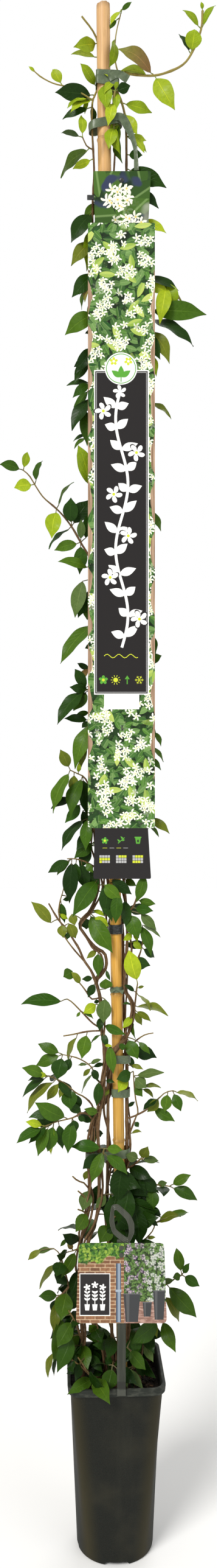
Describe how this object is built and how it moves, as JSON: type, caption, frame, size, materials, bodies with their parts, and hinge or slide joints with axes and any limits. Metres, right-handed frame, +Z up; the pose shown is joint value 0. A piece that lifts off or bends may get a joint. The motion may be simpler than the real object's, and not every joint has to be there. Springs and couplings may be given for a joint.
{
  "type": "potted star jasmine on a cane",
  "caption": "Star jasmine climbing a bamboo cane in a square plastic pot, with plant ties, a hanging label, a picture tag and a carrier loop.",
  "frame": {"origin": "middle of the underside of the pot, on the surface it stands on", "axes": "+Z up along the cane, -Y towards the front where the labels face, +X to the right seen from the front"},
  "size_m": [0.28, 0.1508, 1.998],
  "materials": {
    "pot": "matt, finely grained",
    "soil": "loose and matt",
    "bamboo": "smooth, satin",
    "label_card": "printed, semi-gloss",
    "black_plastic": "satin",
    "tag_card": "printed, semi-gloss",
    "grey_plastic": "satin",
    "tie_tape": "semi-matt",
    "vine": "leaves semi-gloss, bark matt"
  },
  "bodies": {
    "root": {"pot": "pot", "soil": "soil", "bamboo_cane": "bamboo", "hang_label": "label_card", "label_tie": "black_plastic", "picture_tag": "tag_card", "carrier_strap": "grey_plastic", "tie_top": "tie_tape", "tie_upper": "tie_tape", "cane_clip": "black_plastic", "tie_twisted": "tie_tape", "tie_middle": "tie_tape", "tie_lower": "tie_tape", "tie_long": "tie_tape", "stem_left": "vine", "stem_middle": "vine", "stem_centre": "vine", "stem_right": "vine"}
  },
  "joints": []
}
